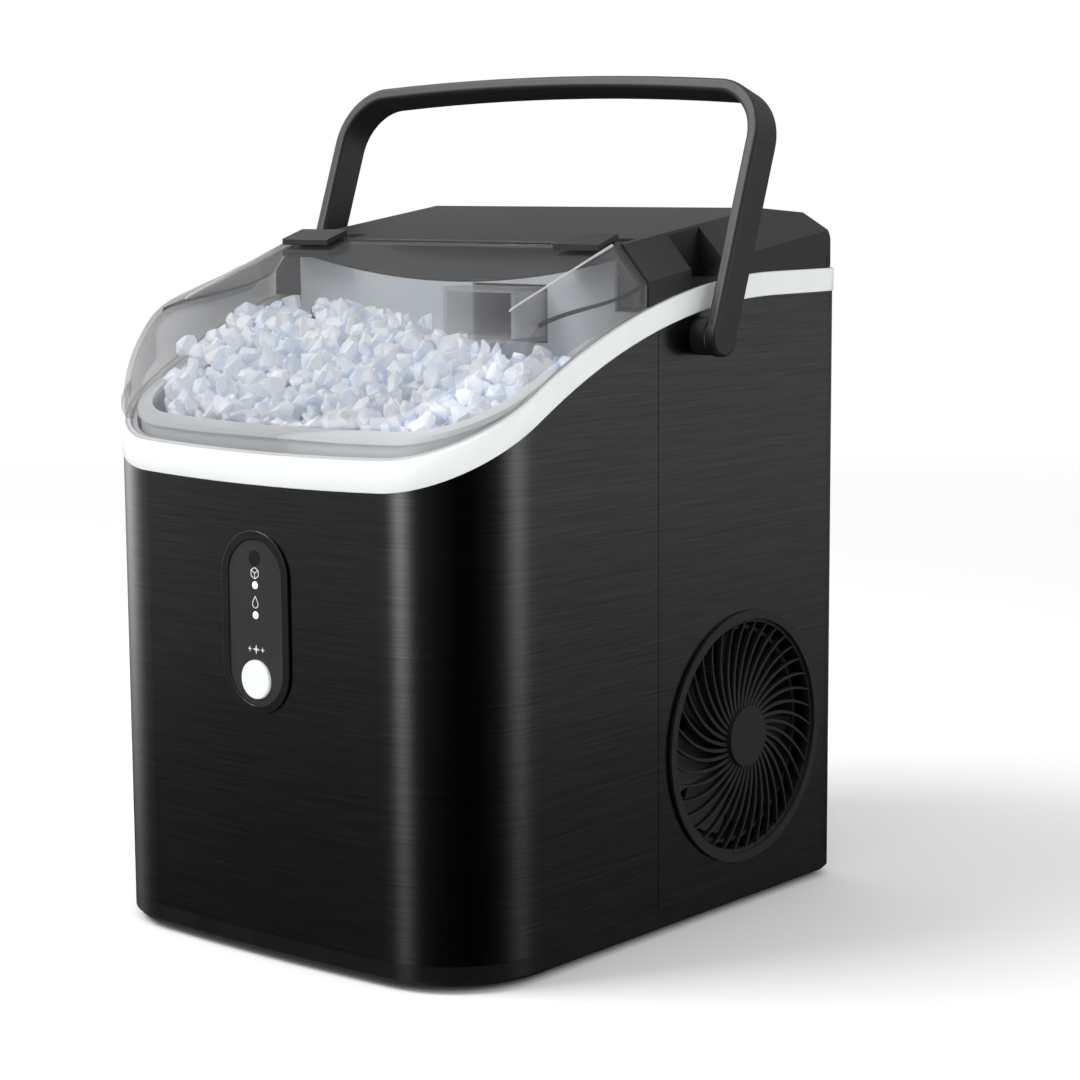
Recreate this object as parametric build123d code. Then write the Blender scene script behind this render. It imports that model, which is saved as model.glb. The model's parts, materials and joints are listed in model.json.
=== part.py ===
"""Countertop nugget ice maker: casing, hinged clear lid, bail handle, ice basket and the works inside.

Millimetres. The origin is on the table under the middle of the body, +Z is up, the front faces -Y and
+X is on the right of a person who faces the control panel: the side with the round vent.
"""
import math
import os

from build123d import *

os.makedirs("parts", exist_ok=True)

# ---- casing ----
WIDTH = 230.0
DEPTH = 278.0
FRONT_CORNER_R = 48.0
REAR_CORNER_R = 14.0
FRONT_BOW = 6.0
SHEET = 1.2
BASE_Z = 3.0
BASE_TOP = 12.0
SEAM_Y = -6.0
SEAM_GAP = 0.4
FRONT_Y = -DEPTH / 2
BACK_Y = DEPTH / 2
FEET = [(-85, -98), (85, -98), (-92, 112), (92, 112)]
BASE_SCREWS = [(0, -122), (-98, -20), (98, -20)]
REAR_SCREWS = [(-94, 70), (-94, 150), (94, 150), (-94, 250), (94, 250)]
SCREW_HEAD_R = 3.5
DRAIN = (-88.0, 30.0)
INLET = (82.0, 45.0)

# ---- sloping rim that the trim band, the lid and the cover share ----
RIM_FRONT_Z = 208.5
RIM_BACK_Z = 283.0
RIM_SLOPE = math.radians(29)
RIM_R = 335.0
TRIM_WIDTH = 11.0
TRIM_PROUD = 0.6
TRIM_INNER = 3.5

# ---- lid and its hinge ----
LID_SLOPE = math.radians(43.7)
LID_REAR_SLOPE = math.radians(20.1)
LID_R = 50.0
LID_CENTRE = (-63.7, 237.8)
LID_REAR_Y = -13.0
LID_WALL = 2.2
LID_INSET = 1.0
LID_EDGE_R = 12.0
HINGE_Y = -6.5
HINGE_Z = 306.0
PIN_R = 1.5
HINGE_POCKETS = ((-97.0, -66.0), (70.0, 97.0))
CLIP_TOP_Z = 313.0

# ---- rear top cover ----
COVER_FRONT_Y = -11.5
COVER_FRONT_Z = 308.5
COVER_PEAK = (90.0, 322.5)
COVER_SHOULDER = (118.0, 320.0)
COVER_BACK = (136.0, 303.0)
COVER_WALL = 2.5
COVER_CHAMFER = (15.0, 17.0)
NOTCH_Y = (19.0, 41.0)
NOTCH_X = 101.0
NOTCH_FLOOR_Z = 293.0
ARCH_HALF = 98.0
ARCH_END_Z = 303.0
ARCH_MIDDLE_Z = 291.0

# ---- handle ----
PIVOT = (24.5, 267.5)
HANDLE_LEAN = math.radians(19.5)
HANDLE_HALF = 129.0
HANDLE_BAND = 6.0
HANDLE_WIDTH = 17.0
HANDLE_HEIGHT = 115.5
HANDLE_ARCH = 5.5
HANDLE_CORNER_R = 28.0
HANDLE_LOBE_R = 9.0
SPIGOT_R = 4.0
RUN = 0.05

# ---- control panel ----
PANEL_W = 32.0
PANEL_Z = (113.0, 185.0)
BEZEL_EDGE = 4.0
PROUD_Y = 2.0
BUTTON_Z = 124.4
BUTTON_R = 8.5
LED_Z = (152.4, 165.4)
LED_R = 1.6
SENSOR_Z = 177.0

# ---- vent and fan ----
VENT_Y = 60.0
VENT_Z = 81.0
VENT_R = 58.6
HUB_R = 14.0
SPOKES = 38
FAN_R = 46.5

# ---- basket, tank and pump ----
RIM_LINE = [(-131.0, 231.0), (-66.0, 257.0), (-17.0, 257.0)]
BASKET_FLOOR = 150.0
BASKET_WALL = 2.0
TANK_Z = (20.0, 97.0)
PUMP = (-50.0, -60.0)
FLOAT = (60.0, -60.0)

# ---- drive and ice column ----
AUGER_X, AUGER_Y = 36.0, 75.0
GEAR_TEETH, PINION_TEETH = 48, 12
MODULE = 1.0
PINION_Y = AUGER_Y - MODULE * (GEAR_TEETH + PINION_TEETH) / 2
SHELF_Z = 144.5
BARREL_Z = (179.0, 253.0)

# ---- refrigeration ----
COMPRESSOR = (-46.0, 78.0)
COMPRESSOR_R = 46.0
DISCHARGE = (-70.0, 60.0)
SUCTION = (-66.0, 100.0)
MOUNT_SPOTS = [(COMPRESSOR[0] + 36 * math.cos(a), COMPRESSOR[1] + 36 * math.sin(a))
               for a in (math.radians(90 * i + 45) for i in range(4))]
CONDENSER_X = 73.0
PASSES = 6
PASS_PITCH = 17.2
PASS_Y = [20.0 + PASS_PITCH * i for i in range(PASSES)]


# ---------------------------------------------------------------- helpers
def block(x0, x1, y0, y1, z0, z1):
    return Pos((x0 + x1) / 2, (y0 + y1) / 2, (z0 + z1) / 2) * Box(x1 - x0, y1 - y0, z1 - z0)


def rod_x(x0, x1, y, z, r):
    return Pos((x0 + x1) / 2, y, z) * Rot(0, 90, 0) * Cylinder(r, x1 - x0)


def rod_y(y0, y1, x, z, r):
    return Pos(x, (y0 + y1) / 2, z) * Rot(90, 0, 0) * Cylinder(r, y1 - y0)


def rod_z(z0, z1, x, y, r):
    return Pos(x, y, (z0 + z1) / 2) * Cylinder(r, z1 - z0)


def side_shape(points, half_x=200.0):
    """A shape drawn on the (Y, Z) side view, as wide as twice half_x."""
    return extrude(Plane.YZ * make_face(Polyline(points, close=True)), half_x, both=True)


def plan(inset):
    """The body's outline from above: bowed front with wide corners, small corners behind."""
    half = WIDTH / 2 - inset
    front, back = FRONT_Y + inset, BACK_Y - inset
    outline = make_face([
        Line((-half, front + FRONT_BOW), (-half, back)),
        Line((-half, back), (half, back)),
        Line((half, back), (half, front + FRONT_BOW)),
        ThreePointArc((half, front + FRONT_BOW), (0, front), (-half, front + FRONT_BOW)),
    ])
    outline = fillet(outline.vertices().group_by(Axis.Y)[0], FRONT_CORNER_R - inset)
    return fillet(outline.vertices().group_by(Axis.Y)[-1], max(REAR_CORNER_R - inset, 1.0))


def prism(inset, z0, z1):
    return extrude(Pos(0, 0, z0) * plan(inset), z1 - z0)


def under_rim(rise, half_x=200.0):
    """Everything below the sloping rim line, raised by rise square to the line."""
    corner_y = FRONT_Y + (RIM_BACK_Z - RIM_FRONT_Z) / math.tan(RIM_SLOPE)
    centre_y = corner_y + RIM_R * math.tan(RIM_SLOPE / 2)
    centre_z = RIM_BACK_Z - RIM_R

    def on_arc(angle):
        radius = RIM_R + rise
        return centre_y - radius * math.sin(angle), centre_z + radius * math.cos(angle)

    start, middle, end = on_arc(RIM_SLOPE), on_arc(RIM_SLOPE / 2), on_arc(0)
    reach = 160.0
    far = (start[0] - reach * math.cos(RIM_SLOPE), start[1] - reach * math.sin(RIM_SLOPE))
    floor, back = -50.0, 250.0
    face = make_face([
        Line(far, start),
        ThreePointArc(start, middle, end),
        Line(end, (back, end[1])),
        Line((back, end[1]), (back, floor)),
        Line((back, floor), (far[0], floor)),
        Line((far[0], floor), far),
    ])
    return extrude(Plane.YZ * face, half_x, both=True)


def capsule(width, z0, z1, y0, y1):
    """An upright rounded slot shape in the front, between two depths."""
    face = Pos(0, (z0 + z1) / 2) * Rot(0, 0, 90) * SlotOverall(z1 - z0, width)
    return extrude(Plane(origin=(0, y1, 0), x_dir=(1, 0, 0), z_dir=(0, -1, 0)) * face, y1 - y0)


def pipe(points, bend, radius):
    path = FilletPolyline(*points, radius=bend)
    section = Plane(origin=path @ 0, z_dir=path % 0) * Circle(radius)
    return sweep(section, path=path)


def gear(teeth, thickness, turn):
    """A spur gear on Z with straight-flanked teeth and some backlash."""
    pitch_r = MODULE * teeth / 2
    step = 2 * math.pi / teeth
    rows = ((pitch_r - 1.25 * MODULE, 0.33), (pitch_r, 0.225), (pitch_r + 0.9 * MODULE, 0.12))
    points = []
    for tooth in range(teeth):
        middle = tooth * step + turn
        left = [(r, middle - share * step) for r, share in rows]
        right = [(r, middle + share * step) for r, share in reversed(rows)]
        points += [(r * math.cos(a), r * math.sin(a)) for r, a in left + right]
    return extrude(make_face(Polyline(points, close=True)), thickness)


# ---------------------------------------------------------------- casing
def base_tray():
    floor = prism(0.0, BASE_Z, BASE_TOP)
    floor = chamfer(floor.faces().sort_by(Axis.Z)[0].edges(), 2.0)
    lip = prism(SHEET + 0.2, BASE_TOP, BASE_TOP + 8) - prism(SHEET + 2.2, BASE_TOP, BASE_TOP + 8)
    pockets = [rod_z(BASE_Z, BASE_Z + 2, x, y, 12.2) for x, y in FEET]
    return floor + lip - pockets - [rod_z(BASE_Z, BASE_TOP, x, y, 1.7) for x, y in BASE_SCREWS]


def rubber_feet():
    return [rod_z(0, BASE_Z + 1.9, x, y, 12.0) for x, y in FEET]


def wrap():
    shell = prism(0.0, BASE_TOP + 0.1, 320) - prism(SHEET, BASE_TOP, 321)
    return shell & under_rim(0)


def front_wrap_panel():
    front = wrap() & block(-130, 130, -150, SEAM_Y - SEAM_GAP / 2, 0, 320)
    edge = BEZEL_EDGE - 1
    hole = capsule(PANEL_W + 2 * edge, PANEL_Z[0] - edge, PANEL_Z[1] + edge, -150, -130)
    return front - hole


def rear_wrap_panel():
    rear = wrap() & block(-130, 130, SEAM_Y + SEAM_GAP / 2, 150, 0, 320)
    rear -= rod_x(105, 120, VENT_Y, VENT_Z, 56.0)
    rear -= [rod_x(-120, 120, *PIVOT, 5.1)]
    slots = [Pos(0, 138, z) * Rot(90, 0, 0) * extrude(SlotOverall(96, 4), 6, both=True)
             for z in range(90, 255, 11)]
    screws = [rod_y(130, 145, x, z, 1.7) for x, z in REAR_SCREWS]
    drain = rod_y(130, 145, *DRAIN, 6.2)
    x, z = INLET
    inlet = block(x - 14.5, x + 14.5, 130, 145, z - 10.5, z + 10.5)
    return rear - slots - screws - drain - inlet


def white_trim_band():
    ring = prism(-TRIM_PROUD, 190, 320) - prism(TRIM_INNER, 189, 321)
    return (ring & under_rim(TRIM_WIDTH)) - under_rim(0.15)


def body_screws():
    head, shank, shank_r = 1.2, 8.0, 1.6
    seat = BACK_Y + 0.05
    rear = [rod_y(seat, BACK_Y + head, x, z, SCREW_HEAD_R) + rod_y(BACK_Y - shank, seat, x, z, shank_r)
            for x, z in REAR_SCREWS]
    base = [rod_z(BASE_Z - 1.0, BASE_Z, x, y, SCREW_HEAD_R) + rod_z(BASE_Z, BASE_TOP + 0.5, x, y, shank_r)
            for x, y in BASE_SCREWS]
    return rear + base


# ---------------------------------------------------------------- side vent
def side_vent_grille():
    """Round grille: raised rim, proud hub and swept spokes between them."""
    half = WIDTH / 2
    rim = rod_x(half + 0.05, half + 1.8, 0, 0, VENT_R) - rod_x(half, half + 3, 0, 0, 54.6)
    neck = rod_x(half - 4, half + 0.1, 0, 0, 55.8) - rod_x(half - 5, half + 1, 0, 0, 53.0)
    hub = rod_x(half - 2.5, half + 2.2, 0, 0, HUB_R)
    inner, middle, outer = HUB_R - 1.5, 34.0, 54.0
    lag, lead = math.radians(-19), math.radians(-33)

    def edge(shift):
        return ThreePointArc((inner, shift), (middle * math.cos(lag), middle * math.sin(lag) + shift),
                             (outer * math.cos(lead), outer * math.sin(lead) + shift))

    near, far = edge(-0.9), edge(0.9)
    spoke = make_face([near, Line(near @ 1, far @ 1), far, Line(far @ 0, near @ 0)])
    spoke = extrude(Plane(origin=(half - 2, 0, 0), x_dir=(0, 1, 0), z_dir=(1, 0, 0)) * spoke, 2.4)
    spokes = [Rot(360.0 * i / SPOKES, 0, 0) * spoke for i in range(SPOKES)]
    return Pos(0, VENT_Y, VENT_Z) * (rim + neck + hub + spokes)


# ---------------------------------------------------------------- top cover
def cover_form(inset):
    """The cover's outside, or its inside when inset by the wall, before the openings."""
    back = COVER_BACK[0] - inset
    form = side_shape([(COVER_FRONT_Y + inset, 240), (COVER_FRONT_Y + inset, COVER_FRONT_Z - inset),
                       (COVER_PEAK[0], COVER_PEAK[1] - inset), (COVER_SHOULDER[0], COVER_SHOULDER[1] - inset),
                       (back, COVER_BACK[1] - inset), (back, 240)])
    form &= prism(1.0 + inset, 240, 340)
    rise = (COVER_PEAK[1] - COVER_FRONT_Z) / (COVER_PEAK[0] - COVER_FRONT_Y)
    across, down = COVER_CHAMFER
    size = math.hypot(across, down)
    top_x = WIDTH / 2 - across - inset * down / size
    start_y = COVER_FRONT_Y - 10
    top_z = COVER_FRONT_Z - 10 * rise - inset * across / size
    wedge = Polyline([(top_x - across, top_z + down), (top_x + 2 * across, top_z - 2 * down),
                      (160, top_z - 2 * down), (160, 380), (top_x - across, 380)], close=True)
    wedge = Plane(origin=(0, start_y, 0), x_dir=(1, 0, 0), z_dir=(0, -1, 0)) * make_face(wedge)
    wedge = extrude(wedge, 175, dir=(0, 1, rise))
    return form - wedge - mirror(wedge, about=Plane.YZ)


def notch(grow, floor):
    """The recesses beside the handle's arms."""
    low, high = NOTCH_Y
    shape = side_shape([(low - grow, 240), (low - grow, 340), (high + grow, 340), (high + 5 + grow, 240)])
    right = block(NOTCH_X - grow, 130, 0, 80, floor, 340)
    return shape & (right + mirror(right, about=Plane.YZ))


def hinge_pocket(grow):
    return [block(low - grow, high + grow, COVER_FRONT_Y - 2, 2.5 + grow, 300 - grow, 325)
            for low, high in HINGE_POCKETS]


def under_arch(drop):
    """Everything below the shallow arch over the bin's back wall."""
    end_z, middle_z, floor = ARCH_END_Z - drop, ARCH_MIDDLE_Z - drop, 200.0
    face = make_face([
        ThreePointArc((-ARCH_HALF, end_z), (0, middle_z), (ARCH_HALF, end_z)),
        Line((ARCH_HALF, end_z), (ARCH_HALF, floor)),
        Line((ARCH_HALF, floor), (-ARCH_HALF, floor)),
        Line((-ARCH_HALF, floor), (-ARCH_HALF, end_z)),
    ])
    return extrude(Plane(origin=(0, COVER_FRONT_Y - 1, 0), x_dir=(1, 0, 0), z_dir=(0, -1, 0)) * face, -4.5)


def top_cover():
    hollow = cover_form(COVER_WALL) - notch(COVER_WALL, 240)
    for pocket in hinge_pocket(2.4):
        hollow -= pocket
    cover = cover_form(0) - hollow - notch(0, NOTCH_FLOOR_Z) - under_rim(TRIM_WIDTH + 0.3)
    cover -= under_arch(0)
    for pocket in hinge_pocket(0):
        cover -= pocket
    return cover - lid_hinge_pins()


# ---------------------------------------------------------------- lid
def lid_form(inset):
    """The lid's outside, or its inside when inset by the wall."""
    radius = LID_R - inset
    centre_y, centre_z = LID_CENTRE
    slopes = (LID_SLOPE, (LID_SLOPE + LID_REAR_SLOPE) / 2, LID_REAR_SLOPE)
    start, middle, end = [(centre_y - radius * math.sin(a), centre_z + radius * math.cos(a)) for a in slopes]
    reach = 90.0
    far = (start[0] - reach * math.cos(LID_SLOPE), start[1] - reach * math.sin(LID_SLOPE))
    back, floor = 5.0, 150.0
    top = (back, end[1] + (back - end[0]) * math.tan(LID_REAR_SLOPE))
    face = make_face([
        Line(far, start), ThreePointArc(start, middle, end), Line(end, top),
        Line(top, (back, floor)), Line((back, floor), (far[0], floor)), Line((far[0], floor), far),
    ])
    half = WIDTH / 2 - LID_INSET - inset
    form = extrude(Plane.YZ * face, half, both=True)
    edges = [e for e in form.edges()
             if abs(abs(e.center().X) - half) < 0.01 and e.center().Z > 190
             and abs(e.tangent_at(0.5).Y) > 0.1]
    form = fillet(edges, LID_EDGE_R - inset)
    hair = 0.02
    return form & prism(LID_INSET + inset - hair, 149, 331)


def lid_shell():
    lid = lid_form(0) - lid_form(LID_WALL) - under_rim(TRIM_WIDTH + 0.3)
    lid -= block(-130, 130, LID_REAR_Y, 40, 150, 330)
    tab = block(-78, -52, FRONT_Y - 1.4, FRONT_Y + 3.0, 231.5, 234.0) & prism(-1.4, 200, 260)
    return lid + (tab - lid_form(1.0))


def clip_profile():
    """The clip's section: a plate over the lid's rear edge, one under it and the wall behind."""
    tip = -24.0
    edge = LID_REAR_Y + 0.3
    points = [(tip, 305.75), (tip, 308.6), (-10.2, CLIP_TOP_Z), (-10.2, 304.0), (HINGE_Y, 304.0),
              (HINGE_Y, HINGE_Z - 3.4), (tip, 300.2), (tip, 303.0), (edge, 307.1), (edge, 309.9)]
    return make_face(Polyline(*points, close=True))


def lid_hinge_clips():
    clips = []
    for low, high in HINGE_POCKETS:
        x0, x1 = low + 0.5, high - 0.5
        clip = Pos((x0 + x1) / 2, 0, 0) * extrude(Plane.YZ * clip_profile(), (x1 - x0) / 2, both=True)
        clip += rod_x(x0, x1, HINGE_Y, HINGE_Z, 3.4)
        clips.append(clip - rod_x(low, high, HINGE_Y, HINGE_Z, PIN_R + RUN))
    return clips


def lid_hinge_pins():
    return [rod_x(low - 2, high + 2, HINGE_Y, HINGE_Z, PIN_R) for low, high in HINGE_POCKETS]


# ---------------------------------------------------------------- handle
def handle_loop(half, height, corner):
    face = make_face([
        Line((-half, 0), (-half, height)),
        ThreePointArc((-half, height), (0, height + HANDLE_ARCH), (half, height)),
        Line((half, height), (half, 0)),
        Line((half, 0), (-half, 0)),
    ])
    return fillet(face.vertices().group_by(Axis.Y)[-1], corner)


def handle_bail():
    """One moulded U with a slightly arched bar and round ends on the pivots."""
    band = handle_loop(HANDLE_HALF, HANDLE_HEIGHT, HANDLE_CORNER_R)
    band -= handle_loop(HANDLE_HALF - HANDLE_BAND, HANDLE_HEIGHT - HANDLE_BAND, HANDLE_CORNER_R - HANDLE_BAND)
    lean = Plane(origin=(0, *PIVOT), x_dir=(1, 0, 0),
                 z_dir=(0, -math.cos(HANDLE_LEAN), math.sin(HANDLE_LEAN)))
    loop = extrude(lean * band, HANDLE_WIDTH / 2, both=True)
    feet_z = PIVOT[1] + 12
    loop = fillet([e for e in loop.edges() if e.center().Z > feet_z], 1.8)
    inner = HANDLE_HALF - HANDLE_BAND
    for side in (-1, 1):
        low, high = sorted((side * inner, side * HANDLE_HALF))
        lobe = rod_x(low, high, *PIVOT, HANDLE_LOBE_R)
        loop += fillet(lobe.edges(), 1.5)
        low, high = sorted((side * inner, side * (inner + 4.3)))
        loop -= rod_x(low, high, *PIVOT, SPIGOT_R + RUN)
    return loop


def handle_bosses():
    bosses = []
    for side in (-1, 1):
        stages = ((108, 115.1, 5.0), (115.1, 122.5, 8.5), (122.5, 127.0, SPIGOT_R))
        spans = [(*sorted((side * a, side * b)), r) for a, b, r in stages]
        bosses.append(sum((rod_x(a, b, *PIVOT, r) for a, b, r in spans), Part()))
    return bosses


def handle_washers():
    washers = []
    for side in (-1, 1):
        low, high = sorted((side * 122.5, side * 122.9))
        washers.append(rod_x(low, high, *PIVOT, 7.5) - rod_x(low, high, *PIVOT, SPIGOT_R + RUN))
    return washers


# ---------------------------------------------------------------- control panel
def panel_bezel():
    low, high, wide = PANEL_Z[0] - BEZEL_EDGE, PANEL_Z[1] + BEZEL_EDGE, PANEL_W + 2 * BEZEL_EDGE
    flange = capsule(wide, low, high, FRONT_Y - 1.2, FRONT_Y - 0.05)
    neck = capsule(wide - 2.4, low + 1.2, high - 1.2, FRONT_Y - 0.1, FRONT_Y + 4)
    hole = capsule(PANEL_W + 0.3, PANEL_Z[0] - 0.15, PANEL_Z[1] + 0.15, FRONT_Y - 3, FRONT_Y + 5)
    return flange + neck - hole


def panel_plate():
    plate = capsule(PANEL_W, *PANEL_Z, FRONT_Y - 0.6, FRONT_Y + 1.1)
    plate -= rod_y(-145, -130, 0, BUTTON_Z, BUTTON_R + 0.2)
    plate -= rod_y(-145, -130, 0, SENSOR_Z, 3.5)
    return plate - [rod_y(-145, -130, 0, z, LED_R + 0.1) for z in LED_Z]


def function_button():
    cap = rod_y(FRONT_Y - PROUD_Y, FRONT_Y + 2.6, 0, BUTTON_Z, BUTTON_R)
    cap = fillet(cap.faces().sort_by(Axis.Y)[0].edges(), 0.8)
    flange = rod_y(FRONT_Y + 1.3, FRONT_Y + 2.6, 0, BUTTON_Z, BUTTON_R + 1)
    return cap + flange + rod_y(FRONT_Y + 2.6, FRONT_Y + 4.5, 0, BUTTON_Z, 3.0)


def button_switch():
    board_face = FRONT_Y + 11.5
    body = block(-3.5, 3.5, board_face - 4.5, board_face, BUTTON_Z - 3.5, BUTTON_Z + 3.5)
    return body + rod_y(board_face - 5.7, board_face - 4.5, 0, BUTTON_Z, 1.8)


def indicator_leds():
    return [rod_y(FRONT_Y - 0.7, FRONT_Y + 11.5, 0, z, LED_R) for z in LED_Z]


def sensor_window():
    return rod_y(FRONT_Y - 0.5, FRONT_Y + 2.5, 0, SENSOR_Z, 3.4)


def control_board():
    return block(-16, 16, FRONT_Y + 11.55, FRONT_Y + 13.1, 108, 186)


# ---------------------------------------------------------------- bin, basket and water
def bin_form(front, deep, knee, floor, back, top):
    """Side shape with a high front wall that steps back behind the control panel."""
    return side_shape([(front, top), (front, knee + 24), (deep, knee), (deep, floor), (back, floor),
                       (back, top)])


def inner_liner():
    outer = prism(4.2, 90, 330) & bin_form(-140, -116.5, 179, 100, -10.5, 330)
    inner = prism(6.2, 90, 330) & bin_form(-140, -114.5, 180, 102.5, -12.5, 331)
    liner = (outer - inner) & under_rim(TRIM_WIDTH - 2)
    liner += block(-96, 96, -12.5, -10.5, 250, 320) & under_arch(1.0)
    ledges = block(97, 109, -90, -30, 140, 149.9) + block(-109, -97, -90, -30, 140, 149.9)
    drain = rod_z(99, 104, 60, -90, 8)
    chute = block(14, 58, -14, -9, 264, 290)
    return liner + (ledges & prism(5, 90, 330)) - drain - chute


def basket_top(drop):
    line = [(y, z - drop) for y, z in RIM_LINE]
    return side_shape([(-145, line[0][1] - 5.6), *line, (0, line[2][1]), (0, 100), (-145, 100)])


def ice_basket():
    floor, wall = BASKET_FLOOR, BASKET_WALL
    outer = prism(8.0, 140, 330) & bin_form(-130, -113, 182, floor, -17, 330)
    inner = prism(8.0 + wall, 140, 331)
    inner &= bin_form(-130 + wall, -113 + wall, 183, floor + 2.2, -17 - wall, 332)
    walls = (outer - inner) & basket_top(0)
    rim = (prism(6.7, 140, 330) - prism(13.0, 139, 331)) & bin_form(-131.5, -131.5, 182, floor, -15.5, 330)
    rim = (rim & basket_top(0)) - basket_top(2.5)
    back = block(-104, 104, -22, -15.5, 254.5, 257)
    drains = [rod_z(floor - 1, floor + 3, x, y, 3) for x in (-60, -20, 20, 60) for y in (-90, -60, -35)]
    return walls + rim + back - drains


def water_tank():
    low, high = TANK_Z
    outer = prism(9.0, low, high) & block(-130, 130, -150, -14, low, high)
    inner = prism(11.5, low + 2.5, high + 2) & block(-130, 130, -150, -16.5, low + 2.5, high + 2)
    return outer - inner - rod_y(-20, -10, -50, 35, 4.2) - rod_y(-20, -10, -100, 30, 3.0)


def water_pump():
    x, y = PUMP
    case = rod_z(22.6, 44, x, y, 20) + rod_z(44, 72, x, y, 15) + rod_y(y + 15, -38, x, 35, 5)
    case -= rod_z(28, 40, x, y, 16)
    return case - rod_z(22, 29, x, y, 5)


def pump_impeller():
    x, y = PUMP
    vanes = [Pos(x, y, 34.5) * Rot(0, 0, 60 * i) * Pos(8, 2, 0) * Box(12, 1.4, 5) for i in range(6)]
    return (rod_z(30, 32, x, y, 14.5) + rod_z(30, 38, x, y, 4)).fuse(*vanes)


def feed_hose():
    return pipe([(-50, -38, 35), (-50, 2, 35), (-50, 2, 205), (36, 2, 205), (36, 36.9, 205)], 14, 4.0)


def float_stem():
    return rod_z(22.6, 82, *FLOAT, 3) + rod_z(22.6, 29.5, *FLOAT, 6) + rod_z(70, 73, *FLOAT, 6)


def level_float():
    return rod_z(29.8, 45, *FLOAT, 12) - rod_z(29, 46, *FLOAT, 3.3)


def drain_hose():
    return pipe([(-100, -13.9, 30), (-100, 96, 30), (-88, 122, 30), (-88, 130, 30)], 6, 4.0)


def drain_spout():
    x, z = DRAIN
    spout = rod_y(130, 139.4, x, z, 6.0) + rod_y(136, 137.7, x, z, 9.0)
    return spout - rod_y(132, 140, x, z, 4.0)


def drain_cap():
    x, z = DRAIN
    return rod_y(139.4, 141, x, z, 9.5) + rod_y(133, 139.4, x, z, 3.93)


def ice_level_sensor():
    return block(-84, -66, -18, -12.6, 264, 276) + rod_y(-20, -18, -75, 270, 3)


# ---------------------------------------------------------------- drive and ice column
def drive_shelf():
    top = block(-14, 60, -6, 134, 142, SHELF_Z)
    legs = block(-14, 60, -6, -3.5, BASE_TOP, 142) + block(-14, 60, 131.5, 134, BASE_TOP, 142)
    return top + legs - rod_z(140, 146, AUGER_X, PINION_Y, 4)


def drive_motor():
    can = rod_z(86, 141.9, AUGER_X, PINION_Y, 21)
    can = fillet(can.faces().sort_by(Axis.Z)[0].edges(), 3)
    return can - rod_z(130, 143, AUGER_X, PINION_Y, 2 + RUN)


def motor_pinion():
    shaft = rod_z(131, 166, AUGER_X, PINION_Y, 2)
    half_tooth = math.pi / PINION_TEETH
    return shaft + Pos(AUGER_X, PINION_Y, 152) * gear(PINION_TEETH, 10, half_tooth)


def gearbox_housing():
    low, high = SHELF_Z + 0.05, 175.9
    box = block(-2, 66, PINION_Y - 13, AUGER_Y + 33, low, high)
    box = fillet(box.edges().filter_by(Axis.Z), 8)
    hollow = block(1, 63, PINION_Y - 10, AUGER_Y + 30, low + 3, high + 1)
    bush = rod_z(low + 3, 151.5, AUGER_X, AUGER_Y, 8) - rod_z(148, 152, AUGER_X, AUGER_Y, 4 + RUN)
    return box - hollow + bush - rod_z(low - 1, 150, AUGER_X, PINION_Y, 2 + RUN)


def gearbox_cover():
    box = block(-2, 66, PINION_Y - 13, AUGER_Y + 33, 176, 178.9)
    return fillet(box.edges().filter_by(Axis.Z), 8) - rod_z(175, 180, AUGER_X, AUGER_Y, 4 + RUN)


def auger_gear():
    wheel = Pos(AUGER_X, AUGER_Y, 153) * gear(GEAR_TEETH, 8, 0)
    return wheel - rod_z(150, 165, AUGER_X, AUGER_Y, 4.0 + RUN)


def auger():
    """Ice screw: drive shaft, core and one continuous flight."""
    shaft = rod_z(148.2, 258, 0, 0, 4) + rod_z(183, 252, 0, 0, 9)
    path = Helix(pitch=14, height=60, radius=8.6)
    section = Plane(origin=path @ 0, x_dir=(1, 0, 0), z_dir=path % 0) * Pos(4.8, 0) * Rectangle(9.6, 2.6)
    flight = Pos(0, 0, 187.5) * sweep(section, path=path, is_frenet=True)
    return Pos(AUGER_X, AUGER_Y, 0) * (shaft + flight)


def evaporator_barrel():
    low, high = BARREL_Z
    barrel = rod_z(low, high, AUGER_X, AUGER_Y, 21.5) - rod_z(low + 3, high + 1, AUGER_X, AUGER_Y, 18.7)
    return barrel - rod_z(low - 1, low + 4, AUGER_X, AUGER_Y, 4 + RUN)


def evaporator_coil():
    turns, pitch = 8, 7.2
    return [Pos(AUGER_X, AUGER_Y, 192 + pitch * i) * Torus(23.8, 2.1) for i in range(turns)]


def insulation_jacket():
    return rod_z(184, 250, AUGER_X, AUGER_Y, 38) - rod_z(183, 251, AUGER_X, AUGER_Y, 26.2)


def extruder_head():
    head = rod_z(253.1, 262, AUGER_X, AUGER_Y, 24) - rod_z(252, 263, AUGER_X, AUGER_Y, 4 + RUN)
    ring = 13.0
    spots = [Rot(0, 0, 60 * i) * Pos(ring, 0, 0) for i in range(6)]
    return head - [Pos(AUGER_X, AUGER_Y, 0) * spot * rod_z(252, 263, 0, 0, 3.4) for spot in spots]


def ice_chute():
    duct = block(15, 57, -34, 100, 265, 289) - block(17, 55, -35, 98, 267, 287)
    return duct - rod_z(264, 268, AUGER_X, AUGER_Y, 18)


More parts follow.
